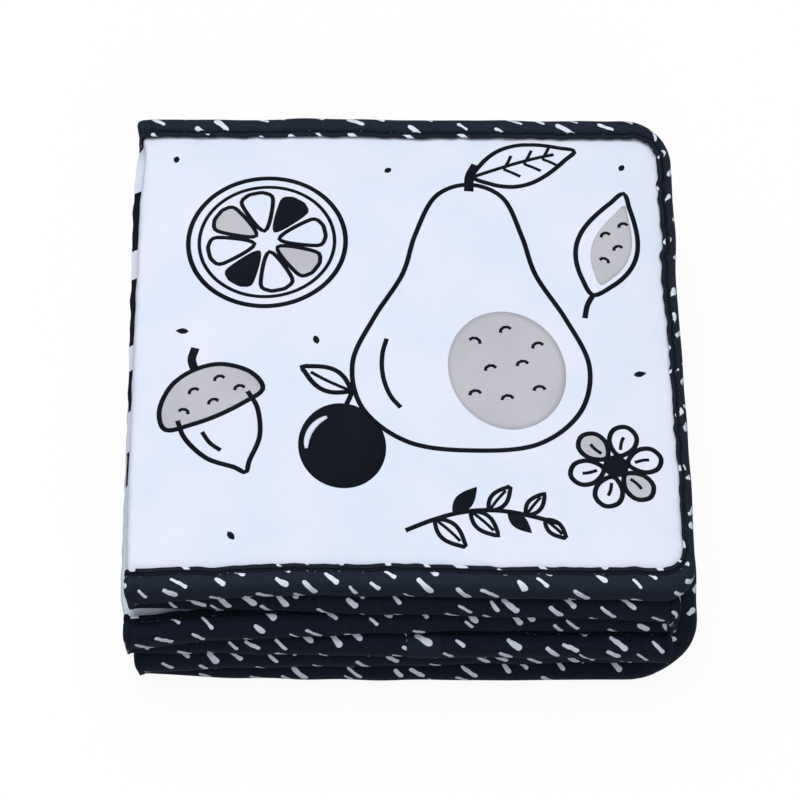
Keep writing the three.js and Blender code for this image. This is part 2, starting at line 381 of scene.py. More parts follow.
def tape_rises(page, x, behind_lip=0):
    """How far the tape rises over and sinks under its page's middle plane."""
    middle = mid_height(page, x)
    top = 0 * middle + TAPE_HALF
    bottom = 0 * middle + RESTING_RISE
    if page > 1:
        top = crease_height(page - 1, x, behind_lip) - middle - CREASE_GAP / 2
    if page < PAGE_COUNT:
        bottom = middle - crease_height(page, x, behind_lip) - CREASE_GAP / 2
    return top, bottom


def behind_lips(page, y):
    """How far in from the front and the back tape's lips a place of the straight page is."""
    place = PAGES[page]
    return {"front": y - place["front"] - TAPE_WIDTHS["front"],
            "back": place["back"] - TAPE_WIDTHS["back"] - y}


def end_lip(page, y):
    """Where the tape of a free end stops, along X."""
    place = PAGES[page]
    front, back = END_TAPE_WIDTHS[page]
    share = (y - place["front"]) / (place["back"] - place["front"])
    return place["right"] - front - (back - front) * np.clip(share, 0, 1)


# Binding tape
def nose_share(inset, squareness):
    """How much of its half thickness the rolled edge has, at a distance from its outer edge."""
    outer = np.clip(1 - inset / NOSE_DEPTH, 0, 1)
    return (1 - outer ** squareness) ** (1 / squareness)


def groove_depths(count):
    """The groove is deeper at every second station, which is where a stitch pulls it in."""
    return GROOVE_DEPTH * np.where(np.arange(count) % 2, 1.0, GROOVE_FLAT_SHARE)


def tape_section(width, top, bottom, squareness=NOSE_SQUARENESS):
    """The tape's folded section, as inset from the outer edge and rise over the middle plane.

    The arguments are arrays with one value for each station along the tape.
    """
    groove = groove_depths(len(width))
    half = (top + bottom) / 2
    stitches = width - STITCH_INSET
    lip = half - LIP_DROP
    slope, slope_depth = GROOVE_HALF * GROOVE_SLOPE[0], groove * GROOVE_SLOPE[1]
    # From the lip down into the stitches' groove and up again to the rolled edge
    flap = [
        (width, lip - TAPE_THICKNESS), (width + LIP_ROUNDING, lip - TAPE_THICKNESS / 2), (width, lip),
        (width - FLAP_RUN, lip + FLAP_SWELLS[0]),
        (stitches + GROOVE_HALF + GROOVE_EASE, lip + FLAP_SWELLS[1]),
        (stitches + slope, lip - slope_depth), (stitches, lip - groove),
        (stitches - slope, lip - slope_depth),
        (stitches - GROOVE_HALF, lip + LIP_DROP * GROOVE_RIM),
        (stitches - GROOVE_HALF - FLAP_RUN, half - NOSE_START),
    ]
    flap = [(inset, rise - half * (1 - nose_share(inset, squareness))) for inset, rise in flap]
    nose = []
    start = np.arccos(np.clip(1 - flap[-1][0] / NOSE_DEPTH, 0, 1) ** (squareness / 2))
    for step in range(NOSE_STEPS + 1):
        angle = start * (1 - 2 * step / NOSE_STEPS)
        out = np.abs(np.cos(angle)) ** (2 / squareness)
        up = np.copysign(np.abs(np.sin(angle)) ** (2 / squareness), angle)
        nose.append((NOSE_DEPTH * (1 - out) + 0 * width, half * up))
    under = [(inset, -rise) for inset, rise in reversed(flap)]
    inner = half - TAPE_THICKNESS
    inside = [(depth + 0 * width, rise) for depth, rise in (
        (NOSE_DEPTH, -inner), (TAPE_THICKNESS, 0 * half), (NOSE_DEPTH, inner))]
    inset, rise = (np.stack(values, 1) for values in zip(*(flap + nose + under + inside)))
    return inset, rise + ((top - bottom) / 2)[:, None]


def rounded_run(left, right, front, back, front_radius, back_radius, counts):
    """Points from the front left end round the free end to the back left end."""
    def arc(centre_y, radius, start, count):
        angles = start + np.linspace(0, math.pi / 2, count, endpoint=False)
        return np.stack([right - radius + radius * np.cos(angles), centre_y + radius * np.sin(angles)], 1)

    front_y = front + front_radius
    back_y = back - back_radius
    return np.concatenate([
        np.linspace((left, front), (right - front_radius, front), counts[0], endpoint=False),
        arc(front_y, front_radius, -math.pi / 2, counts[1]),
        np.linspace((right, front_y), (right, back_y), counts[2], endpoint=False),
        arc(back_y, back_radius, 0, counts[3]),
        np.linspace((right - back_radius, back), (left, back), counts[4] + 1),
    ])


def tape_runs(page):
    """Each run of tape on a page: its name, outer edge and lip."""
    place = PAGES[page]
    left, right, front, back = (place[key] for key in ("left", "right", "front", "back"))
    step = STITCH_PITCH / 2
    if place["has_free_end"]:
        radii = OUTER_CORNERS[page]
        lengths = [right - radii[0] - left, radii[0] * math.pi / 2, back - front - sum(radii),
                   radii[1] * math.pi / 2, right - radii[1] - left]
        counts = [max(4, round(length / step)) for length in lengths]
        outer = rounded_run(left, right, front, back, *radii, counts)
        lip = rounded_run(left, right, front + TAPE_WIDTHS["front"], back - TAPE_WIDTHS["back"],
                          *LIP_CORNERS[page], counts)
        lip[:, 0] = left + (lip[:, 0] - left) * (end_lip(page, lip[:, 1]) - left) / (right - left)
        return [("binding", outer, lip)]
    xs = np.linspace(left, right, round((right - left) / step))
    front_run = np.stack([xs, 0 * xs + front], 1)
    back_run = np.stack([xs[::-1], 0 * xs + back], 1)
    return [("front_binding", front_run, front_run + (0, TAPE_WIDTHS["front"])),
            ("back_binding", back_run, back_run - (0, TAPE_WIDTHS["back"]))]


def shaped_runs(page):
    """Each run with the cloth's small waves: name, outer edge, direction in, width and place."""
    for name, outer, lip in tape_runs(page):
        spots = along(outer)
        inward = lip - outer
        width = np.linalg.norm(inward, axis=1)
        inward = inward / width[:, None]
        fade = np.minimum(1, np.minimum(spots, spots[-1] - spots) / WAVE_FADE)
        lip_wave, width_wave, edge_wave = (fade * wave(spots, f"{page}{name}{kind}", kind)
                                           for kind in ("lip", "width", "edge"))
        if page in LIP_LINES and name == "front_binding":
            width = width + smooth_table(LIP_LINES[page], outer[:, 0])
        width = width + lip_wave * (1 + END_LIP_WAVE * np.abs(inward[:, 0])) + width_wave
        yield name, outer + inward * edge_wave[:, None], inward, width, spots


def section_uvs(page, inset, rise, spots):
    """The tape's cloth coordinates: along it, and across it from the upper lip."""
    across = np.zeros_like(inset)
    across[:, 1:] = np.cumsum(np.hypot(np.diff(inset, axis=1), np.diff(rise, axis=1)), axis=1)
    return np.stack([np.broadcast_to(spots[:, None] + page * TAPE_PIECE, across.shape), across], -1)


def make_tape_mesh(name, points, uvs):
    """A tape mesh from rows of section points, which keeps how far each point is from a lip."""
    rows, size = points.shape[:2]
    piece = make_mesh(name, points.reshape(-1, 3), tube_faces(rows, size), [TAPE],
                      uvs=uvs.reshape(-1, 2), flat_faces=cap_faces(size))
    across = uvs[..., 1]
    under_lip = size - INSIDE_POINTS - 1
    from_lip = np.minimum(across, np.abs(across[:, under_lip:under_lip + 1] - across))
    layer = piece.data.attributes.new("from_lip", "FLOAT", "POINT")
    layer.data.foreach_set("value", from_lip.ravel())
    return piece


def build_tape(page, name, outer, inward, width, spots):
    """A run of tape, folded over the page's edge."""
    top, bottom = tape_rises(page, outer[:, 0])
    if page == 1:
        top = top + wave(spots, f"{page}{name}top", "top")
    inset, rise = tape_section(width, top, bottom)
    places = outer[:, None] + inward[:, None] * inset[..., None]
    points = settle(page, places[..., 0], places[..., 1], rise)
    piece = make_tape_mesh(f"page_{page}_{name}_tape", points, section_uvs(page, inset, rise, spots))
    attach(piece, f"page_{page}")
    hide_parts(f"page_{page}_{name}")


def build_stitching(page):
    """The rows of topstitching on both sides of a page's tape, one small arch for each stitch."""
    stitches = []
    shares = np.linspace(*STITCH_SHARES, THREAD_STEPS)
    arch = THREAD_ARCH * (np.sin(math.pi * shares) - THREAD_SINK)
    thick = THREAD_RADIUS * np.sin(math.pi * np.linspace(*STITCH_ENDS, THREAD_STEPS)) ** 0.5
    turns = 2 * math.pi * np.arange(THREAD_SIDES)[:, None] / THREAD_SIDES
    for _, outer, inward, width, _ in shaped_runs(page):
        top, bottom = tape_rises(page, outer[:, 0])
        row = outer + inward * (width - STITCH_INSET)[:, None]
        spots = along(row)
        depth = LIP_DROP + GROOVE_DEPTH * GROOVE_FLAT_SHARE - THREAD_RADIUS / 2
        for side in (1, -1):
            rise = (top - bottom) / 2 + side * ((top + bottom) / 2 - depth)
            line = settle(page, row[:, 0], row[:, 1], rise)
            for start in np.arange(FIRST_STITCH, spots[-1] - STITCH_PITCH, STITCH_PITCH):
                at = start + STITCH_PITCH * shares
                core = np.stack([np.interp(at, spots, line[:, i]) for i in range(3)], 1)
                core[:, 2] += side * arch
                across = np.cross((core[-1] - core[0]) / np.linalg.norm(core[-1] - core[0]), (0, 0, 1))
                ring = across * np.cos(turns) + np.array((0, 0, 1)) * np.sin(turns)
                stitches.append(core[:, None] + thick[:, None, None] * ring)
    points = np.array(stitches).reshape(-1, 3)
    faces = [tuple(base + v for v in face) for base in range(0, len(points), THREAD_STEPS * THREAD_SIDES)
             for face in tube_faces(THREAD_STEPS, THREAD_SIDES)]
    piece = make_mesh(f"page_{page}_stitching", points, faces, [THREAD])
    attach(piece, f"page_{page}")


# Padded pages
SIM_FRAMES = 18
SIM_SETTINGS = {
    "quality": 6, "mass": 0.15, "tension_stiffness": 25, "compression_stiffness": 25,
    "shear_stiffness": 8, "bending_stiffness": 0.02, "vertex_group_mass": "pinned",
    "use_pressure": True, "uniform_pressure_force": 2.2, "vertex_group_shrink": "loose",
    "shrink_min": 0, "shrink_max": -0.035,
}
SIM_CAP = 0.5  # the furthest that a point moves
SIM_HELD = (-1.2, 0.5)  # the cloth is held that far under the tape, and that near to a fold
LOOSE_REACH = 9  # how far in from the tape the cloth is loose
PUCKER_FADE = 5
SOFT_RUN = 20  # how far in from the tape the soft unevenness is whole
SOFT_SLANTS = (0.4, 0.3)
TINY = 1e-9


def corner_squeeze(a, b, radius):
    """Pulls a square corner's points into a round one. a and b are distances in from the sides."""
    p = np.clip(1 - a / radius, 0, 1)
    q = np.clip(1 - b / radius, 0, 1)
    inside = (a < radius) & (b < radius)
    new_a = radius * (1 - p * np.sqrt(1 - q * q / 2))
    new_b = radius * (1 - q * np.sqrt(1 - p * p / 2))
    return np.where(inside, new_a, a), np.where(inside, new_b, b)


def cover_grid(page):
    """A page cloth's grid: places on the straight page, and distances in from its four lips."""
    place = PAGES[page]
    end_inset = COVER_END_INSET if place["has_free_end"] else 0
    left, right = place["left"], place["right"] - end_inset
    front, back = place["front"] + COVER_INSET, place["back"] - COVER_INSET
    xs = np.linspace(left, right, round((right - left) / COVER_STEP) + 1)
    ys = np.linspace(front, back, round((back - front) / COVER_STEP) + 1)
    x, y = np.meshgrid(xs, ys, indexing="ij")
    behind = behind_lips(page, y)
    behind["left"] = x - left
    behind["right"] = end_lip(page, y) - x if end_inset else right - x
    if end_inset:
        radii = [radius - COVER_CORNER_SHRINK for radius in OUTER_CORNERS[page]]
        a, b = corner_squeeze(right - x, y - front, radii[0])
        x, y = right - a, front + b
        a, b = corner_squeeze(right - x, back - y, radii[1])
        x, y = right - a, back - b
    return x, y, behind


def cover_rise(page, x, behind, is_upper):
    """Height of a page's outer surface over its middle plane, above or below it."""
    rise = CROWN
    for side, distance in behind.items():
        is_fold = side == "left" or (side == "right" and not PAGES[page]["has_free_end"])
        rise = rise * read_table(FOLD_RISES if is_fold else LIP_RISES, distance) / CROWN
    edge = np.maximum(0, np.minimum(behind["front"], behind["back"]))
    limit = tape_rises(page, x, edge)[0 if is_upper else 1]
    follow = 1 - smooth_step(edge / OVERLAP_DEPTH)
    rise = rise * (1 + follow * (limit / TAPE_HALF - 1))
    if page == PAGE_COUNT and not is_upper:
        rise = np.minimum(rise, RESTING_RISE)
    return rise


def page_skins(page, x, y, behind):
    """The upper and the lower outer surface of a page."""
    return [settle(page, x, y, side * cover_rise(page, x, behind, side > 0)) for side in (1, -1)]


def fold_calm(page, x):
    """0 beside a page's folds, where its cloth goes on into the fold, and 1 away from them."""
    near, run = FOLD_CALM
    calm = smooth_step((x - PAGES[page]["left"] - near) / run)
    if not PAGES[page]["has_free_end"]:
        calm = calm * smooth_step((PAGES[page]["right"] - near - x) / run)
    return calm


def puff_up(piece, page, x, behind):
    """Lets a page's cloth swell and pucker in a short cloth simulation, within a small cap."""
    under_tape, on_fold = SIM_HELD
    near = np.minimum.reduce([behind[side] for side in ("front", "back", "right")])
    held = (near < under_tape) | (behind["left"] < on_fold)
    if not PAGES[page]["has_free_end"]:
        held = held | (behind["right"] < on_fold)
    weights = {"pinned": held.astype(float), "loose": np.clip(1 - near / LOOSE_REACH, 0, 1)}
    for name, values in weights.items():
        group = piece.vertex_groups.new(name=name)
        for index, value in enumerate([*values.ravel(), *values.ravel()]):
            group.add([index], float(value), "REPLACE")
    before = read_points(piece.data)
    cloth = piece.modifiers.new("cloth", "CLOTH")
    for key, value in SIM_SETTINGS.items():
        setattr(cloth.settings, key, value)
    cloth.settings.effector_weights.gravity = 0
    cloth.point_cache.frame_start = 1
    cloth.point_cache.frame_end = SIM_FRAMES
    scene = bpy.context.scene
    for step in range(1, SIM_FRAMES + 1):
        scene.frame_set(step)
    swollen = piece.evaluated_get(bpy.context.evaluated_depsgraph_get())
    moved = read_points(swollen.data) - before
    piece.modifiers.remove(cloth)
    scene.frame_set(1)
    piece.vertex_groups.clear()
    calm = fold_calm(page, x).ravel()
    cap = SIM_CAP * MM * np.concatenate([calm, calm])[:, None]
    far = np.linalg.norm(moved, axis=1)[:, None]
    limited = cap * np.tanh(far / np.maximum(cap, TINY))
    return before + moved * limited / np.maximum(far, TINY)


def build_cover(page):
    """A padded page: its two cloths over the wadding, sewn shut under the tape."""
    x, y, behind = cover_grid(page)
    columns, rows = x.shape
    half = columns * rows
    skins = page_skins(page, x, y, behind)
    rim = rim_loop(columns, rows)
    upper, lower = grid_faces(columns, rows), grid_faces(columns, rows, half, flip=True)
    slots = [0] * len(upper) + [1] * len(lower) + [0] * len(rim)
    flat = np.stack([x.ravel(), y.ravel()], 1)
    piece = make_mesh(f"page_{page}_cover", np.reshape(skins, (-1, 3)), upper + lower + rim_faces(rim, half),
                      [WHITE, WHITE], slots, np.concatenate([flat, flat]), flat_faces=len(rim))
    shape = puff_up(piece, page, x, behind)
    if page == PAGE_COUNT:
        shape[:, 2] = np.maximum(shape[:, 2], (PAGES[page]["mid"] - RESTING_RISE) * MM)
    piece.data.vertices.foreach_set("co", shape.ravel())
    finer = piece.modifiers.new("finer", "SUBSURF")
    finer.levels = 1
    finer.render_levels = 1
    graph = bpy.context.evaluated_depsgraph_get()
    mesh = bpy.data.meshes.new_from_object(piece.evaluated_get(graph))
    piece.modifiers.clear()
    piece.data = mesh
    pucker(mesh, page)
    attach(piece, f"page_{page}")
    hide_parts(f"page_{page}_cloth_a", f"page_{page}_cloth_b",
                f"page_{page}_pad", f"page_{page}_crinkle_film")
    return piece


def pucker(mesh, page):
    """Fine puckers where the stitching gathers the cloth, and soft unevenness in the middle."""
    places = read_points(mesh) / MM
    x, y, z = places.T
    y_flat = y + front_shift(page, x, y)
    side = np.where(z > mid_height(page, x), 1, -1)
    behind = behind_lips(page, y_flat)
    lips = [("front", behind["front"], x, "pucker"), ("back", behind["back"], x, "pucker")]
    if PAGES[page]["has_free_end"]:
        lips.append(("right", end_lip(page, y_flat) - x, y_flat, "end_pucker"))
    total = 0
    for name, distance, spots, kind in lips:
        for key in (1, -1):
            seed = f"{page}{name}{key}"
            reach = PUCKER_FADE + wave(spots, seed + "reach", "reach")
            fade = np.exp(-np.maximum(distance, 0) / reach) * (distance > -1)
            total = total + (side == key) * fade * wave(spots, seed, kind)
    slant_x, slant_y = SOFT_SLANTS
    soft = wave(x + slant_x * y, f"{page}x", "soft_x") * wave(y - slant_y * x, f"{page}y", "soft_y")
    inner = smooth_step(np.minimum(behind["front"], behind["back"]) / SOFT_RUN)
    places[:, 2] += side * (total - np.abs(soft) * inner) * fold_calm(page, x)
    if page == PAGE_COUNT:
        places[:, 2] = np.maximum(places[:, 2], PAGES[page]["mid"] - RESTING_RISE)
    mesh.vertices.foreach_set("co", (places * MM).ravel())
    mesh.update()


# Folds
def fold_angles(fold, kind):
    """Angles round a fold, with a step of its own across the middle."""
    gap_angle = math.radians((STEPPED_GAP_ANGLES if fold in UPPER_REACHES else FOLD_GAP_ANGLES)[kind])
    upper = np.linspace(0, math.pi / 2 - gap_angle, FOLD_STEPS // 2 + 1)
    return np.concatenate([upper, math.pi - upper[::-1]])


def signed_power(value, power):
    return np.sign(value) * np.abs(value) ** power


def fold_place(fold, angles, radius, y, centre, reach, share, power, thickness=0):
    """Where a point of a squarish fold lies: out from the pages' edges, and its height.

    reach is how far the whole fold sticks out, and share the part of it for each millimetre of
    the radius.
    """
    z = centre + radius * signed_power(np.cos(angles), power)
    out = radius * share * np.abs(np.sin(angles)) ** power
    if fold in UPPER_REACHES:
        upper = smooth_table(UPPER_REACHES[fold], y) - thickness
        out = out * np.where(z > fold_level(fold), np.minimum(1, upper / reach), 1)
    return out, z


def cover_reach(fold, y):
    """How far a fold's cloth sticks out at places along Y, and how near to the tape each is."""
    front_tape, middle, back_tape = FOLD_REACHES[fold]
    reach = middle + (smooth_table(FOLD_BULGES[fold], y) if fold in FOLD_BULGES else 0 * y)
    nearness = 0
    for tape, inset in ((front_tape, y - PAGES[fold]["front"]), (back_tape, PAGES[fold]["back"] - y)):
        near = 1 - smooth_step((inset - COVER_INSET) / FOLD_END_RUN)
        reach = reach + (tape - COVER_CLOTH_THICKNESS - reach) * near
        nearness = np.maximum(nearness, near)
    return reach, nearness


def blend_fold(piece, fold):
    """Bakes the piece's transform into its mesh; its halves are not tied to either page."""
    edge = fold_edge(fold) * MM
    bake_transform(piece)


def build_fold_tape(fold, name):
    """The tape where it goes round a fold, pinched by the bend. name is front or back."""
    is_front = name == "front"
    side = fold_side(fold)
    edge = fold_edge(fold)
    ends = []
    for page in (fold, fold + 1):
        top, bottom = tape_rises(page, edge)
        middle = mid_height(page, edge)
        y = PAGES[page][name] - front_shift(page, edge, PAGES[page][name])
        ends.append((middle + top, middle - bottom, float(y)))
    (ceiling, _, y_upper), (_, ground, y_lower) = ends
    angles = fold_angles(fold, "tape")
    pinch = np.sin(angles) ** 2
    centre = float(crease_height(fold, edge, 0))
    share = angles / math.pi
    outer = ceiling - centre + (centre - ground - (ceiling - centre)) * share - FOLD_TAPE_PINCH * pinch
    inner = CREASE_GAP / 2 + (FOLD_TAPE_INNER - CREASE_GAP / 2) * pinch
    half = (outer - inner) / 2
    inset, rise = tape_section(TAPE_WIDTHS[name] + 0 * outer, half, half,
                               NOSE_SQUARENESS + (FOLD_NOSE_SQUARENESS - NOSE_SQUARENESS) * pinch)
    power = FOLD_POWERS[name]
    sunk = (1 - signed_power(np.cos(angles), power)) / 2
    bulge = wave(angles * FOLD_WAVE_RUN, f"{fold}{name}", "fold_tape") * pinch
    y_outer = y_upper + (y_lower - y_upper) * sunk + bulge
    y = y_outer[:, None] + (inset if is_front else -inset)
    reach = FOLD_REACHES[fold][0 if is_front else 2]
    x, z = fold_place(fold, angles[:, None], rise + ((outer + inner) / 2)[:, None], y, centre, reach,
                      reach / outer[len(outer) // 2], power)
    z = np.clip(z, ground, ceiling)
    crown = np.argmax(rise[0])
    path = along(np.stack([x[:, crown], z[:, crown]], 1))
    starts_here = (side < 0) == is_front
    length = [spots[-1] for kind, *_, spots in shaped_runs(fold) if kind in ("binding", f"{name}_binding")]
    uvs = section_uvs(fold, inset, rise, -path if starts_here else length[0] + path)
    piece = make_tape_mesh(f"fold_{fold}_{fold + 1}_{name}_tape", np.stack([edge + side * x, y, z], -1), uvs)
    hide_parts(f"fold_{fold}_{fold + 1}_{name}_binding")
    blend_fold(piece, fold)


def fold_rows(fold, blocks):
    """Places along a fold on the straight page, with one at each block's edge."""
    front = PAGES[fold]["front"] + TAPE_WIDTHS["front"] - FOLD_UNDER_TAPE
    back = PAGES[fold]["back"] - TAPE_WIDTHS["back"] + FOLD_UNDER_TAPE
    spots = set(np.linspace(front, back, round((back - front) / FOLD_ROW_STEP) + 1))
    spots.update(y for block in blocks for y in block)
    spots = np.array(sorted(spots))
    middles = (spots[1:] + spots[:-1]) / 2
    return spots, [int(any(low < middle < high for low, high in blocks)) for middle in middles]


def edge_heights(fold, page, spots):
    """The page's edge at a fold: places along Y, and heights of its upper and lower side."""
    y = spots + PAGES[page]["front"] - PAGES[fold]["front"]
    behind = behind_lips(page, y)
    behind["left"] = np.full_like(y, 0 if fold_side(fold) < 0 else FAR_INSIDE)
    behind["right"] = FAR_INSIDE - behind["left"]
    upper, lower = page_skins(page, np.full_like(y, fold_edge(fold)), y, behind)
    return y, upper[:, 1], upper[:, 2], lower[:, 2]


def page_flap(fold, page, y, is_upper, surface):
    """Rows of a fold's cloth that lie on the page's own cloth, from the far one to the fold."""
    x = fold_edge(fold) - fold_side(fold) * np.array(FOLD_FLAP_INSETS)[:, None]
    rows = settle(page, x, y, 0)
    rows[..., 2] = [surface.heights(*row.T[:2], is_upper) for row in rows]
    return rows


def keep_step_sharp(mesh, fold):
    """Flat shading where the lower half sticks out past the upper one."""
    level = fold_level(fold) * MM
    for face in mesh.polygons:
        heights = [mesh.vertices[index].co.z for index in face.vertices]
        if min(heights) < level < max(heights):
            face.use_smooth = False


def fold_skins(fold, is_outer, spots, surfaces):
    """Both sides of a fold's cloth, as rows of points from the upper page to the lower one."""
    y_upper, front_upper, top, low_side = edge_heights(fold, fold, spots)
    y_lower, front_lower, high_side, bottom = edge_heights(fold, fold + 1, spots)
    centre = fold_level(fold)
    middle = (PAGES[fold]["mid"] - PAGES[fold + 1]["mid"]) / 2
    behind_lip = np.maximum(0, np.minimum(*behind_lips(fold, spots).values()))
    crease = crease_height(fold, fold_edge(fold), behind_lip) - CREASE_GAP / 2
    ends = (top - centre, centre - bottom) if is_outer else (low_side - centre, centre - high_side)
    sign = 1 if is_outer else -1
    angles = fold_angles(fold, "outer" if is_outer else "inner")[:, None]
    share = angles / math.pi
    pinch = np.sin(angles) ** 2
    radius = (ends[0] * (1 - share) + ends[1] * share) * (1 - pinch)
    radius = radius + (middle + sign * FOLD_COVER_PINCH) * pinch
    radius = radius + wave(spots, f"{fold}{is_outer}", "fold_cloth") * pinch
    reach, nearness = cover_reach(fold, y_upper)
    power = FOLD_POWERS["cloth"] + (FOLD_POWERS["front"] - FOLD_POWERS["cloth"]) * nearness
    y = front_upper * (1 - share) + front_lower * share
    upper_flap = page_flap(fold, fold, y_upper, is_outer, surfaces[fold])
    lower_flap = page_flap(fold, fold + 1, y_lower, not is_outer, surfaces[fold + 1])
    skins = []
    for depth in (0, COVER_CLOTH_THICKNESS):
        overs = np.multiply.outer(sign * (np.array(FOLD_FLAP_RISES) - depth), (0, 0, 1))[:, None]
        x, z = fold_place(fold, angles, radius - sign * depth, y, centre, reach,
                          reach / (middle + FOLD_COVER_PINCH), power, COVER_CLOTH_THICKNESS * nearness)
        bend = np.stack([fold_edge(fold) + fold_side(fold) * x, y, z], -1)
        skin = np.concatenate([upper_flap + overs, bend, (lower_flap - overs)[::-1]])
        if not is_outer:
            above, below = skin[:len(skin) // 2, :, 2], skin[len(skin) // 2:, :, 2]
            above[:] = np.maximum(above, centre + CREASE_GAP + depth)
            below[:] = np.minimum(below, crease - depth)
        skins.append(skin)
    return np.array(skins)


def build_fold_cover(fold, is_outer, surfaces):
    """One of the two cloths of a fold, from one page's cloth round to the other's."""
    spots, is_block = fold_rows(fold, FOLD_BLOCKS if fold == 1 and is_outer else [])
    skins = fold_skins(fold, is_outer, spots, surfaces)
    points = skins.reshape(-1, 3)
    count, size = skins.shape[1:3]
    half = count * size
    first = len(FOLD_FLAP_INSETS) + BLOCK_FIRST_ROW
    slots = []
    for row in list(range(count - 1)) * 2:
        slots += is_block if row >= first else [0] * len(is_block)
    rim = rim_loop(count, size)
    faces = grid_faces(count, size) + grid_faces(count, size, half, flip=True) + rim_faces(rim, half)
    letter = "a" if (fold % 2 == 1) == is_outer else "b"
    piece = make_mesh(f"fold_{fold}_{fold + 1}_cover_{letter}", points, faces, [WHITE, BLACK],
                      slots + [0] * len(rim), points[:, :2], flat_faces=len(rim))
    if fold in UPPER_REACHES and is_outer:
        keep_step_sharp(piece.data, fold)
    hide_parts(f"fold_{fold}_{fold + 1}_cloth_{letter}")
    blend_fold(piece, fold)


# The lap over the tape's join, on page 4's front edge
LAP_PAGE = 4
LAP_RISE = 0.45
LAP_END_SHARE = 0.3  # of its rise, at its ends
LAP_END_RUN = 1.2
LAP_PLACE = -1.8
LAP_LENGTH = 11
LAP_STEPS = 9
LAP_LOOSENESS = 0.06
LAP_EXTRA_WIDTH = 0.3


def build_lap():
    """The tape's last end, turned under and sewn over its beginning."""
    xs = np.linspace(LAP_PLACE, LAP_PLACE + LAP_LENGTH, LAP_STEPS)
    full = np.minimum(1, np.minimum(xs - xs[0], xs[-1] - xs) / LAP_END_RUN)
    outer = PAGES[LAP_PAGE]["front"] - LAP_RISE * (LAP_END_SHARE + (1 - LAP_END_SHARE) * full)
    top, bottom = (rises + LAP_LOOSENESS for rises in tape_rises(LAP_PAGE, xs))
    inset, rise = tape_section(TAPE_WIDTHS["front"] + LAP_EXTRA_WIDTH + 0 * xs, top, bottom)
    points = settle(LAP_PAGE, xs[:, None], outer[:, None] + inset, rise)
    piece = make_tape_mesh(f"page_{LAP_PAGE}_tape_lap", points, section_uvs(0, inset, rise, xs))
    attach(piece, f"page_{LAP_PAGE}")
    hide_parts("binding_end_lap")


# Materials
class Recipe:
    """The shading nodes of a material or a world while they are put together."""

    def __init__(self, owner):
        owner.use_nodes = True
        self.owner = owner
        self.tree = owner.node_tree

    def node(self, kind, inputs=(), **settings):
        node = self.tree.nodes.new(kind)
        for key, value in settings.items():
            setattr(node, key, value)
        return self.feed(node, inputs)

    def feed(self, node, inputs):
        """Links or sets a node's inputs."""
        for key, value in dict(inputs).items():
            if isinstance(value, bpy.types.NodeSocket):
                self.tree.links.new(value, node.inputs[key])
            else:
                node.inputs[key].default_value = value
        return node

    def value(self, kind, inputs=(), output=0, **settings):
        return self.node(kind, inputs, **settings).outputs[output]

    def math(self, operation, *values):
        return self.value("ShaderNodeMath", enumerate(values), operation=operation)

    def vector_math(self, operation, *values):
        return self.value("ShaderNodeVectorMath", enumerate(values), operation=operation)

    def mix(self, share, a, b):
        return self.value("ShaderNodeMix", {0: share, 6: a, 7: b}, 2, data_type="RGBA")

    def split(self, vector):
        return self.node("ShaderNodeSeparateXYZ", {"Vector": vector}).outputs

    def turn(self, vector, angle):
        inputs = {"Vector": vector, "Angle": angle}
        return self.value("ShaderNodeVectorRotate", inputs, rotation_type="Z_AXIS")

    def cloth_place(self):
        return self.value("ShaderNodeUVMap", uv_map="cloth_mm")

    def noise(self, place, scale, detail=2.0, roughness=0.5):
        inputs = {"Vector": place, "Scale": scale, "Detail": detail, "Roughness": roughness}
        return self.value("ShaderNodeTexNoise", inputs)

    def step(self, value, low, high):
        inputs = {"Value": value, "From Min": low, "From Max": high}
        return self.value("ShaderNodeMapRange", inputs, interpolation_type="SMOOTHSTEP")

    def span(self, value, low, high):
        """From low to high while value goes from 0 to 1."""
        return self.value("ShaderNodeMapRange", {"Value": value, "To Min": low, "To Max": high})

    def weave(self, place, pitch, lumps, lump_scale):
        """Height of a plain weave, threads along and across, with fine lumps."""
        turns = 2 * math.pi / pitch
        across, down = (self.math("SINE", self.math("MULTIPLY", part, turns))
                        for part in self.split(place)[:2])
        return self.math("ADD", self.math("MULTIPLY", across, down),
                         self.math("MULTIPLY", self.noise(place, lump_scale, 4.0), lumps))

    def finish(self, base, height, strength, depth, roughness, specular):
        """The finished material. strength and depth are its relief's."""
        inputs = {"Height": height, "Strength": strength, "Distance": depth}
        normal = self.value("ShaderNodeBump", inputs)
        self.feed(self.tree.nodes["Principled BSDF"], {
            "Base Color": base, "Normal": normal, "Roughness": roughness, "Specular IOR Level": specular})
        return self.owner

    def show(self, share, a, b, output):
        """Shows shader a where share is 0 and b where it is 1."""
        mixer = self.node("ShaderNodeMixShader", {0: share, 1: a.outputs[0], 2: b.outputs[0]})
        self.feed(self.tree.nodes[output], {"Surface": mixer.outputs[0]})


def colour(*screen):
    """A colour given as it looks on a screen: red, green and blue from 0 to 255."""
    shares = [value / 255 for value in screen]
    linear = [v / 12.92 if v <= 0.04045 else ((v + 0.055) / 1.055) ** 2.4 for v in shares]
    return (*linear, 1)


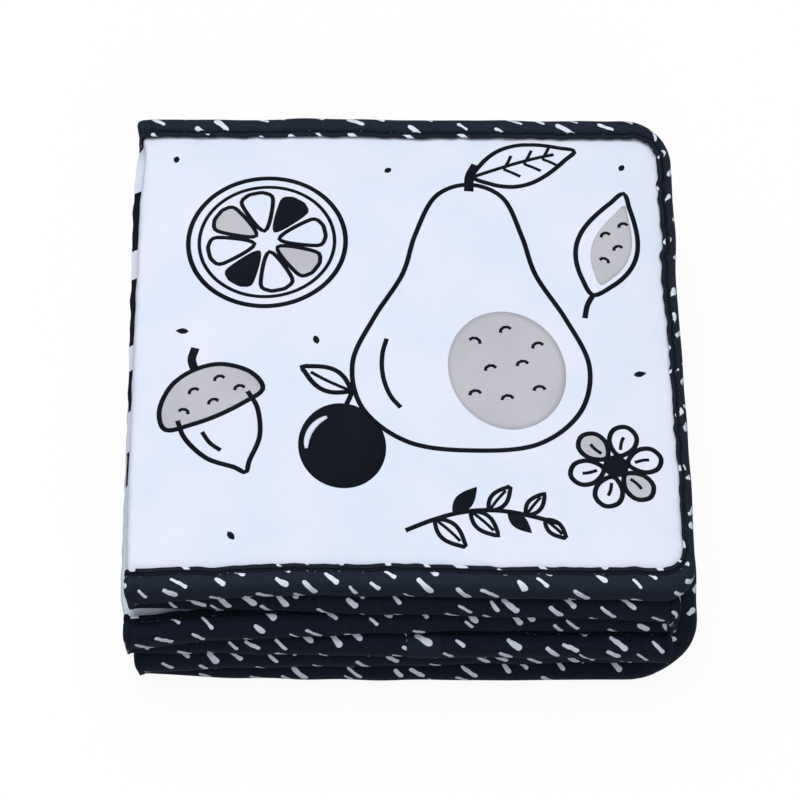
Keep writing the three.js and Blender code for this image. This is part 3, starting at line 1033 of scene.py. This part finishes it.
# Relief's strength and its depth in metres, roughness and gloss
FINISHES = {"cloth": (0.5, 0.00004, 0.8, 0.3), "black_print": (0.5, 0.00004, 0.8, 0.06),
            "tape": (0.6, 0.00006, 0.75, 0.05), "thread": (0.6, 0.00008, 0.6, 0.1)}
WEAVES = {"cloth": (0.55, 2.5, 0.5), "tape": (0.6, 2.0, 0.9)}  # pitch, and size and scale of lumps
BROAD_MOTTLE = (0.035, 3.0)  # scale and detail of the broad change of tone
BROAD_MOTTLE_EDGE = (0.35, 0.65)
FINE_MOTTLE_SCALE = 2.2
FINE_MOTTLE_SHARE = 0.35
MOTTLE_SHARE = 0.75
TAPE_GRAIN = (0.6, 4.0, 0.6)  # scale, detail and roughness
TAPE_GRAIN_EDGE = (0.3, 0.7)
THREAD_GRAIN = 900


def cloth_material(name, main, other, finish="cloth"):
    """Smooth woven polyester, plain or printed in one colour."""
    recipe = Recipe(bpy.data.materials.new(name))
    place = recipe.cloth_place()
    broad = recipe.step(recipe.noise(place, *BROAD_MOTTLE), *BROAD_MOTTLE_EDGE)
    fine = recipe.math("MULTIPLY", recipe.noise(place, FINE_MOTTLE_SCALE), FINE_MOTTLE_SHARE)
    tone = recipe.math("ADD", broad, fine)
    base = recipe.mix(recipe.math("MULTIPLY", tone, MOTTLE_SHARE), main, other)
    return recipe.finish(base, recipe.weave(place, *WEAVES["cloth"]), *FINISHES[finish])


DASH_SLANT = 42
DASH_CELL = (12.5, 6.2, 1)  # one dash for each cell, along and across its own direction
DASH_SCATTER = 0.62
DASH_LEAN = 0.5
DASH_HALF_LENGTHS = (1.2, 2.8)
DASH_RADII = (0.55, 1.2)
DASH_TAPER = 0.17
DASH_SOFTNESS = 0.16
FIRST_PAGE_PAINTED_LIGHT = 0.025  # painted light: the first page's tape, which the light from above falls on most, is painted a little paler
FIRST_PAGE_END = 1.8 * TAPE_PIECE
# From where to where the tape's tone changes: in from the lip, and on both sides of the stitches, where
# painted shade darkens the groove and the dashes stop
FLAP_EDGE = (STITCH_INSET - 0.2, STITCH_INSET + 1.2)
GROOVE_PAINTED_SHADE_EDGE = (0.05, 0.55)
DASH_EDGE = (0.55, 0.85)


def dash_mask(recipe, place):
    """Slanting light dashes like drops, strewn at random over the tape."""
    scaled = recipe.vector_math("DIVIDE", recipe.turn(place, -math.radians(DASH_SLANT)), DASH_CELL)
    cells = recipe.node("ShaderNodeTexVoronoi", {"Vector": scaled, "Scale": 1, "Randomness": DASH_SCATTER},
                        voronoi_dimensions="2D", feature="F1").outputs
    offset = recipe.vector_math("SUBTRACT", scaled, cells["Position"])
    offset = recipe.vector_math("MULTIPLY", offset, DASH_CELL)
    chance = recipe.node("ShaderNodeSeparateColor", {"Color": cells["Color"]}).outputs
    lean = recipe.math("MULTIPLY", recipe.math("SUBTRACT", chance[0], 0.5), DASH_LEAN)
    ahead, aside = recipe.split(recipe.turn(offset, lean))[:2]
    length, radius = (recipe.math("MULTIPLY_ADD", chance[index], high - low, low)
                      for index, (low, high) in ((1, DASH_HALF_LENGTHS), (2, DASH_RADII)))
    share = recipe.math("MAXIMUM", recipe.math("DIVIDE", ahead, length), -1)
    share = recipe.math("MINIMUM", share, 1)
    past_end = recipe.math("SUBTRACT", ahead, recipe.math("MULTIPLY", share, length))
    squares = [recipe.math("POWER", value, 2) for value in (past_end, aside)]
    distance = recipe.math("SQRT", recipe.math("ADD", *squares))
    swell = recipe.math("MULTIPLY_ADD", share, DASH_TAPER, 1 - DASH_TAPER)
    over = recipe.math("SUBTRACT", recipe.math("MULTIPLY", radius, swell), distance)
    return recipe.step(over, -DASH_SOFTNESS / 2, DASH_SOFTNESS / 2)


def tape_material():
    """Dark woven tape with light dashes. It is darker and bluer between its lip and the stitches, painted
    near black as shade in the stitches' groove, and painted a little paler on the first page, where light
    from above falls most.
    """
    recipe = Recipe(bpy.data.materials.new("binding_tape"))
    place = recipe.cloth_place()
    from_lip = recipe.value("ShaderNodeAttribute", output="Fac", attribute_name="from_lip")
    grain = recipe.noise(place, *TAPE_GRAIN)
    body = recipe.mix(recipe.step(grain, *TAPE_GRAIN_EDGE), colour(18, 25, 37), colour(25, 32, 45))
    flap = recipe.mix(grain, colour(11, 17, 28), colour(19, 26, 38))
    base = recipe.mix(recipe.step(from_lip, *FLAP_EDGE), flap, body)
    # Painted light: the first page's tape, the most lit from above, is mixed a little towards a paler
    # blue-grey
    is_first = recipe.math("LESS_THAN", recipe.split(place)[0], FIRST_PAGE_END)
    base = recipe.mix(recipe.math("MULTIPLY", is_first, FIRST_PAGE_PAINTED_LIGHT), base, colour(146, 162, 192))
    groove = recipe.math("ABSOLUTE", recipe.math("SUBTRACT", from_lip, STITCH_INSET))
    is_dash = recipe.math("MULTIPLY", dash_mask(recipe, place), recipe.step(groove, *DASH_EDGE))
    dash = recipe.mix(grain, colour(218, 228, 246), colour(234, 240, 252))
    # Painted shade: the tape turns near black along the stitches' groove
    base = recipe.mix(recipe.step(groove, *GROOVE_PAINTED_SHADE_EDGE), colour(10, 12, 18), recipe.mix(is_dash, base, dash))
    return recipe.finish(base, recipe.weave(place, *WEAVES["tape"]), *FINISHES["tape"])


def thread_material():
    recipe = Recipe(bpy.data.materials.new("stitching_thread"))
    tone = recipe.noise(recipe.value("ShaderNodeTexCoord", output="Object"), THREAD_GRAIN)
    base = recipe.mix(tone, colour(12, 16, 25), colour(25, 31, 43))
    return recipe.finish(base, tone, *FINISHES["thread"])


WHITE = cloth_material("page_white", colour(219, 231, 248), colour(231, 234, 250))
BLACK = cloth_material("print_black", colour(12, 16, 24), colour(20, 24, 33), "black_print")
GREY = cloth_material("print_grey", colour(184, 184, 192), colour(194, 194, 201))
TAPE = tape_material()
THREAD = thread_material()

# Prints on the pages
INKS = {"grey": (GREY, 0.05), "black": (BLACK, 0.09), "white": (WHITE, 0.13)}  # and their rises
PRINT_DEPTH = 0.16
LINE_WIDTH = 1.6
LINE_STEP = 1.2
LINE_ENDS = (0.02, 0.98)  # shares of a half wave, for a line that thins towards its ends
CURVE_STEPS = 14  # between two of a curve's given points, before they are spaced evenly
FILL_SHARES = np.linspace(1, 0.12, 8)  # of a filled shape's size, for its rings
LOOK_UP = 60  # how far off a page's middle its surface is looked up from


class Surface:
    """A page's finished cloth, to lay other things on."""

    def __init__(self, page, cover):
        self.page = page
        places = [v.co / MM for v in cover.data.vertices]
        self.tree = BVHTree.FromPolygons(places, [tuple(p.vertices) for p in cover.data.polygons])

    def heights(self, x, y, is_upper):
        """Heights of the upper or the lower side at some places."""
        side = 1 if is_upper else -1
        found = []
        for place in zip(x, y, mid_height(self.page, x) + side * LOOK_UP):
            hit = self.tree.ray_cast(Vector(place), Vector((0, 0, -side)))[0]
            found.append(hit.z if hit else place[2] - side * (LOOK_UP - LIP_RISES[0][1]))
        return np.array(found)


class Print:
    """Shapes printed on one side of a page, laid on the cloth as thin closed skins."""

    def __init__(self, page, is_upper, surface):
        self.page = page
        self.is_upper = is_upper
        self.surface = surface
        self.points = {ink: [] for ink in INKS}
        self.faces = {ink: [] for ink in INKS}

    def add_skin(self, ink, flat, faces, rim):
        """Adds a patch of the straight page, as places, faces and the loop of its rim."""
        side = 1 if self.is_upper else -1
        y = flat[:, 1] - front_shift(self.page, flat[:, 0], flat[:, 1])
        outside = self.surface.heights(flat[:, 0], y, self.is_upper) + side * INKS[ink][1]
        base = len(self.points[ink])
        count = len(flat)
        self.points[ink] += [*np.stack([flat[:, 0], y, outside], 1),
                             *np.stack([flat[:, 0], y, outside - side * PRINT_DEPTH], 1)]
        skin = [tuple(base + v for v in face) for face in faces]
        skin += [tuple(base + count + v for v in face[::-1]) for face in faces]
        skin += rim_faces([base + v for v in rim], count)
        a, b, c = (flat[v] for v in faces[0][:3])
        is_left_turn = np.cross(b - a, c - b) > 0
        self.faces[ink] += skin if is_left_turn == self.is_upper else [f[::-1] for f in skin]

    def line(self, points, width=LINE_WIDTH, closed=False, ink="black", taper=0.0):
        """A drawn line of even width, or one that thins towards its ends."""
        path = curve_through(points, closed)
        ahead = np.gradient(path, axis=0)
        if closed:
            ahead[0] = ahead[-1] = path[1] - path[-2]
        normal = np.stack([-ahead[:, 1], ahead[:, 0]], 1)
        normal /= np.linalg.norm(normal, axis=1)[:, None]
        ends = np.sin(np.linspace(*LINE_ENDS, len(path)) * math.pi) ** 0.5
        half = width / 2 * (1 - taper + taper * ends)[:, None]
        grid = np.stack([path - normal * half, path, path + normal * half], 1)
        size = grid.shape[:2]
        self.add_skin(ink, grid.reshape(-1, 2), grid_faces(*size), rim_loop(*size))

    def loop(self, points, width=LINE_WIDTH):
        self.line(points, width, closed=True)

    def fill(self, points, ink="black"):
        """A filled shape that can be seen whole from its middle."""
        outline = curve_through(points, True)[:-1]
        centre = outline.mean(0)
        size = len(outline)
        flat = [centre + (outline - centre) * share for share in FILL_SHARES] + [[centre]]
        last = (len(FILL_SHARES) - 1) * size
        faces = [(ring + i, ring + (i + 1) % size, ring + (i + 1) % size + size, ring + i + size)
                 for ring in range(0, last, size) for i in range(size)]
        faces += [(last + i, last + (i + 1) % size, last + size) for i in range(size)]
        self.add_skin(ink, np.concatenate(flat), faces, list(range(size)))

    def finish(self):
        side = "upper" if self.is_upper else "lower"
        for ink, (material, _) in INKS.items():
            if self.points[ink]:
                points = np.array(self.points[ink])
                piece = make_mesh(f"page_{self.page}_{side}_print_{ink}", points, self.faces[ink],
                                  [material], uvs=points[:, :2])
                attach(piece, f"page_{self.page}")


def curve_through(points, closed=False):
    """Evenly spaced points along a smooth curve through the given ones."""
    points = np.asarray(points, float)
    before, after = 2 * points[:1] - points[1:2], 2 * points[-1:] - points[-2:-1]
    if closed:
        before, after = points[-1:], points[:2]
    padded = np.concatenate([before, points, after])
    shares = np.linspace(0, 1, CURVE_STEPS, endpoint=False)[:, None]
    fine = [0.5 * (2 * b + (c - a) * shares + (2 * a - 5 * b + 4 * c - d) * shares ** 2
                   + (3 * b - a - 3 * c + d) * shares ** 3)
            for a, b, c, d in zip(padded, padded[1:], padded[2:], padded[3:])]
    fine = np.concatenate(fine + [padded[-2:-1]])
    spots = along(fine)
    at = np.linspace(0, spots[-1], max(5, round(spots[-1] / LINE_STEP) + 1))
    return np.stack([np.interp(at, spots, fine[:, i]) for i in range(2)], 1)


def placed(spots, centre, size=1, turn=0):
    """Places given as shares of a size, turned by some degrees round a centre."""
    angle = math.radians(turn)
    matrix = [[math.cos(angle), math.sin(angle)], [-math.sin(angle), math.cos(angle)]]
    return np.array(spots) * size @ np.array(matrix) + centre


def oval(centre, radius_x, radius_y=None, turn=0, start=0, sweep=360, count=16):
    """Points round an oval or a part of one. Angles are in degrees."""
    angles = np.radians(start + np.linspace(0, sweep, count, endpoint=sweep != 360))
    spots = np.stack([radius_x * np.cos(angles), (radius_y or radius_x) * np.sin(angles)], 1)
    return placed(spots, centre, turn=turn)


def leaf_outline(base, length, width, turn):
    """A pointed leaf that starts at base and points in the direction turn."""
    shares = np.linspace(0, 1, 9)
    half = width / 2 * np.sin(math.pi * shares ** 0.85)
    upper = np.stack([length * shares, half], 1)
    lower = np.stack([length * shares, -half], 1)[-2:0:-1]
    return placed(np.concatenate([upper, lower]), base, turn=turn)


def draw_leaf(drawing, base, length, width, turn, line, vein):
    """An open leaf with its vein, in lines of two widths."""
    drawing.loop(leaf_outline(base, length, width, turn), line)
    shares = np.linspace(0, 0.8, 5)
    spots = np.stack([length * shares, 0.03 * length * np.sin(math.pi * shares)], 1)
    drawing.line(placed(spots, base, turn=turn), vein)


def small_arcs(drawing, spots, size=1.9):
    """The little hooked marks on the grey patches."""
    for index, spot in enumerate(spots):
        drawing.line(oval(spot, size, size * 0.9, (index * 47) % 50 - 25, 10, 165, 7), 1.1)


def draw_pear(drawing, centre, size):
    patch = oval(placed((0.13, -0.22), centre, size), 0.22 * size, 0.26 * size, 12)
    drawing.fill(patch, "grey")
    marks = [(-0.12, 0.12), (0.0, 0.17), (0.12, 0.1), (-0.06, 0.0), (0.06, 0.02), (-0.12, -0.11),
             (0.0, -0.13), (0.12, -0.09)]
    small_arcs(drawing, placed(marks, patch.mean(0), size))
    shares = [(0, 0.62), (0.13, 0.56), (0.2, 0.38), (0.25, 0.2), (0.36, 0), (0.44, -0.2),
              (0.4, -0.4), (0.24, -0.54), (0, -0.57), (-0.24, -0.54), (-0.41, -0.4), (-0.45, -0.2),
              (-0.37, 0), (-0.26, 0.2), (-0.21, 0.38), (-0.13, 0.56)]
    drawing.loop(placed(shares, centre, size))
    top = placed((0, 0.6), centre, size)
    drawing.line(top + [(0, -1), (0.4, 5), (2.6, 10)], 3.2)
    base, length, turn = top + (1.5, 5), 0.42 * size, 18
    draw_leaf(drawing, base, length, 0.2 * size, turn, LINE_WIDTH, 1.3)
    for share in (0.3, 0.5, 0.68):
        stem = placed((length * share, 0), base, turn=turn)
        for side in (1, -1):
            tip = placed((0.05, side * 0.055), stem, size, turn)
            drawing.line([stem, (stem + tip) / 2 + (0.2, 0), tip], 1.1)
    drawing.line(oval(placed((-0.2, -0.2), centre, size), 0.14 * size, 0.22 * size, 0, 150, 90, 6), 1.5)


def draw_citrus(drawing, centre, radius):
    drawing.loop(oval(centre, radius, radius * 0.97))
    drawing.loop(oval(centre, radius * 0.86, radius * 0.83), 1.2)
    wedge = [(0.16, 0), (0.6, -0.2), (0.73, -0.12), (0.75, 0), (0.73, 0.12), (0.6, 0.2)]
    for index in range(8):
        spots = placed(wedge, centre, radius, 45 * index + 12)
        if index % 4 == 1:
            drawing.fill(spots)
            continue
        if index % 4 == 3:
            drawing.fill(spots, "grey")
        drawing.loop(spots, 1.4)


def draw_plum(drawing, centre, radius):
    drawing.fill(oval(centre, radius, radius * 1.12, 10))
    shine = oval(placed((-0.1, 0), centre, radius), radius * 0.72, radius * 0.8, 0, 110, 75, 7)
    drawing.line(shine, 2.0, ink="white", taper=0.7)
    top = placed((0.1, 1.1), centre, radius)
    drawing.line(top + [(0, 0), (1.5, 4), (1, 8)], 1.6)
    draw_leaf(drawing, top + (1.2, 5), radius * 1.3, radius * 0.6, 150, LINE_WIDTH, 1.1)


def draw_sprig(drawing, base, length, turn, count=7):
    """A curved stem with leaves on both sides."""
    shares = np.linspace(0, 1, 7)
    stem = placed(np.stack([length * shares, 0.12 * length * np.sin(math.pi * shares)], 1), base, turn=turn)
    drawing.line(stem, 1.5)
    for index in range(count):
        share = 0.2 + 0.72 * index / (count - 1)
        spot = np.array([np.interp(share, shares, stem[:, i]) for i in range(2)])
        size = length * (0.3 - 0.12 * share)
        leaf = spot, size, size * 0.46, turn + (48 if index % 2 else -48)
        if index % 3 == 1:
            drawing.fill(leaf_outline(*leaf))
        else:
            draw_leaf(drawing, *leaf, 1.4, 1.0)


def draw_flower(drawing, centre, radius, petals=6):
    petal = [(0.3, -0.08), (0.55, -0.27), (0.85, -0.25), (1, 0), (0.85, 0.25), (0.55, 0.27), (0.3, 0.08)]
    for index in range(petals):
        turn = 360 * index / petals + 15
        spots = placed(petal, centre, radius, turn)
        if index % 3 == 2:
            drawing.fill(spots, "grey")
        drawing.loop(spots)
        drawing.line(placed([(0.42, 0), (0.6, 0.02), (0.74, 0)], centre, radius, turn), 1.1)
    drawing.fill(oval(centre, radius * 0.27))


def draw_acorn(drawing, centre, size, turn):
    """An acorn with a grey cap and a smooth nut."""
    def place(spots):
        return placed(spots, centre, size, turn)

    drawing.line(place([(-0.36, 0.12), (-0.37, -0.1), (-0.27, -0.38), (-0.08, -0.58), (0, -0.68),
                        (0.08, -0.58), (0.27, -0.38), (0.37, -0.1), (0.36, 0.12)]))
    cap = place([(-0.5, 0.08), (-0.47, 0.3), (-0.26, 0.5), (0, 0.56), (0.26, 0.5), (0.47, 0.3),
                 (0.5, 0.08), (0.26, 0.02), (0, 0), (-0.26, 0.02)])
    drawing.fill(cap, "grey")
    drawing.loop(cap)
    drawing.line(place([(0, 0.56), (0.02, 0.68), (0.1, 0.78)]), 2.8)
    small_arcs(drawing, place([(-0.28, 0.17), (-0.1, 0.33), (0.02, 0.14), (0.17, 0.35), (0.3, 0.17)]), 1.7)
    drawing.line(place([(-0.2, -0.1), (-0.18, -0.24), (-0.12, -0.36)]), 1.4)


def draw_speckled_leaf(drawing, base, length, turn):
    """A large leaf with a grey middle and a short stalk."""
    drawing.fill(leaf_outline(base + (2.6, 4), length - 9, 13, turn), "grey")
    small_arcs(drawing, base + [(4, 13), (9, 18), (5, 23), (11, 27)], 1.6)
    drawing.loop(leaf_outline(base, length, 20, turn))
    drawing.line(base + [(-3, -9), (-2, -4), (0, 0)], 1.8)


def draw_drops(drawing, spots, size=2.2):
    for index, spot in enumerate(spots):
        drawing.fill(leaf_outline(np.array(spot), size * (1.4 + 0.3 * (index % 3)), size, 40 + index * 67))


def draw_dots(drawing, low, high, pitch, radius):
    """Rows of dots over a page, every second row set off by half."""
    for row, y in enumerate(np.arange(low[1], high[1], pitch)):
        for x in np.arange(low[0] + (row % 2) * pitch / 2, high[0], pitch):
            drawing.fill(oval((x, y), radius, count=10))


def draw_rings(drawing, centre, radii, width):
    for radius in radii:
        drawing.loop(oval(centre, radius), width)


def draw_tongues(drawing, left, blocks, length):
    """Black tongues that reach in from a fold, where its black blocks end."""
    for index, (low, high) in enumerate(blocks):
        reach = length * (0.75 + 0.25 * (index % 2))
        spots = [(0, low), (reach / 2, low + 1.5), (reach, (low + high) / 2), (reach / 2, high - 1.5),
                 (0, high)]
        drawing.fill(np.array(spots) + (left + 0.4, 0))


def draw_waves(drawing, left, right, ys, width):
    xs = np.linspace(left, right, 13)
    for index, y in enumerate(ys):
        drawing.line(np.stack([xs, y + 4 * np.sin(xs / 13 + index)], 1), width)


# What is printed where: the cover's picture, and plain high-contrast patterns inside
PICTURES = {
    (1, "upper"): [
        (draw_citrus, (-47, 42), 26), (draw_pear, (20, 12), 86), (draw_plum, (-22, -36), 14),
        (draw_acorn, (-62, -24), 34, 24), (draw_sprig, (-2, -66), 48, 4), (draw_flower, (65, -42), 15),
        (draw_speckled_leaf, np.array((60, 22)), 42, 74),
        (draw_drops, [(-8, 70), (-30, 2), (-72, 8), (72, 74), (-58, -66), (72, -8), (-78, 74)])],
    (1, "lower"): [(draw_rings, (0, 4), (8, 20, 32, 44, 56), 4.5)],
    (2, "upper"): [(draw_flower, (-3, 2), 58)],
    (2, "lower"): [
        (draw_tongues, PAGES[2]["left"], FOLD_BLOCKS, 46), (draw_rings, (34, 0), (10, 22, 34), 4)],
    (3, "upper"): [(draw_dots, (-70, -66), (70, 76), 18, 4.2)],
    (3, "lower"): [(draw_citrus, (0, 0), 56)],
    (4, "upper"): [(draw_waves, -74, 68, np.arange(-60, 70, 21), 4.5)],
    (4, "lower"): [(draw_plum, (30, -4), 34), (draw_acorn, (-42, 4), 46, -12)],
    (5, "upper"): [(draw_sprig, (-66, -58), 112, 62), (draw_sprig, (0, -60), 112, 62)],
    (5, "lower"): [(draw_dots, (-68, -66), (70, 70), 24, 7)],
    (6, "upper"): [(draw_pear, (-4, -14), 104)],
    (6, "lower"): [(draw_rings, centre, (6, 15, 24), 3.6) for centre in ((-36, -38), (36, 34))],
}

# Stage
FLOOR_SIZE = 6
FLOOR_ROUGHNESS = 0.9
BACKGROUND_SHARE = 0.93  # the rest of the floor is lit, and keeps the shadow
FLOOR_TONES = 0.2, 0.95  # as it lights the book, and as the camera sees it
SKY_STRENGTHS = 0.06, 0.46  # at the horizon and straight above
SKY_COLOUR = (0.97, 0.98, 1, 1)
LAMPS = [
    ("overhead_softbox", (-0.12, 0.28, 1.5), 1.3, 15.9),
    ("front_softbox", (0.3, -1.3, 0.85), 0.8, 4.8),
    ("left_softbox", (-1.4, 0.1, 0.6), 0.8, 2.4),
]


def seen_by_camera(recipe):
    """1 for rays that show the background: the camera's own, mirrored and let-through ones."""
    rays = recipe.node("ShaderNodeLightPath").outputs
    share = rays["Is Camera Ray"]
    for kind in ("Is Glossy Ray", "Is Transmission Ray"):
        share = recipe.math("MAXIMUM", share, rays[kind])
    return share


def build_floor():
    half = FLOOR_SIZE / 2 / MM
    recipe = Recipe(bpy.data.materials.new("floor"))
    lit = recipe.tree.nodes["Principled BSDF"]
    recipe.feed(lit, {"Base Color": recipe.span(seen_by_camera(recipe), *FLOOR_TONES),
                      "Roughness": FLOOR_ROUGHNESS})
    share = recipe.math("MULTIPLY", seen_by_camera(recipe), BACKGROUND_SHARE)
    recipe.show(share, lit, recipe.node("ShaderNodeEmission"), "Material Output")
    corners = [(-half, -half, 0), (half, -half, 0), (half, half, 0), (-half, half, 0)]
    make_mesh("floor", corners, [(0, 1, 2, 3)], [recipe.owner], flat_faces=1)


def build_lights():
    world = bpy.data.worlds.new("studio")
    bpy.context.scene.world = world
    recipe = Recipe(world)
    upward = recipe.split(recipe.value("ShaderNodeTexCoord", output="Generated"))["Z"]
    strength = recipe.span(upward, *SKY_STRENGTHS)
    light = recipe.feed(recipe.tree.nodes["Background"], {"Color": SKY_COLOUR, "Strength": strength})
    white = recipe.node("ShaderNodeBackground", {"Color": (1, 1, 1, 1)})
    recipe.show(seen_by_camera(recipe), light, white, "World Output")
    for name, place, size, power in LAMPS:
        lamp = bpy.data.lights.new(name, "AREA")
        lamp.size = size
        lamp.energy = power
        holder = add_object(name, lamp)
        holder.location = place
        holder.rotation_euler = (-Vector(place)).to_track_quat("-Z", "Y").to_euler()


def build_camera():
    lens = bpy.data.cameras.new("camera")
    lens.lens = CAMERA_LENS
    lens.sensor_width = CAMERA_SENSOR
    lens.clip_start = CAMERA_NEAREST * MM
    camera = add_object("camera", lens)
    camera.location = [v * MM for v in CAMERA_PLACE]
    camera.rotation_euler = (math.radians(90 - CAMERA_ELEVATION), 0, -math.radians(CAMERA_AZIMUTH))
    bpy.context.scene.camera = camera


bpy.context.scene.view_settings.view_transform = "Standard"
build_camera()
build_lights()
build_floor()

surfaces = {}
for page in range(1, PAGE_COUNT + 1):
    surfaces[page] = Surface(page, build_cover(page))
    for run in shaped_runs(page):
        build_tape(page, *run)
    build_stitching(page)
for fold in range(1, PAGE_COUNT):
    for name in ("front", "back"):
        build_fold_tape(fold, name)
    for is_outer in (True, False):
        build_fold_cover(fold, is_outer, surfaces)
build_lap()

for (page, side), drawn in PICTURES.items():
    picture = Print(page, side == "upper", surfaces[page])
    for draw, *details in drawn:
        draw(picture, *details)
    picture.finish()
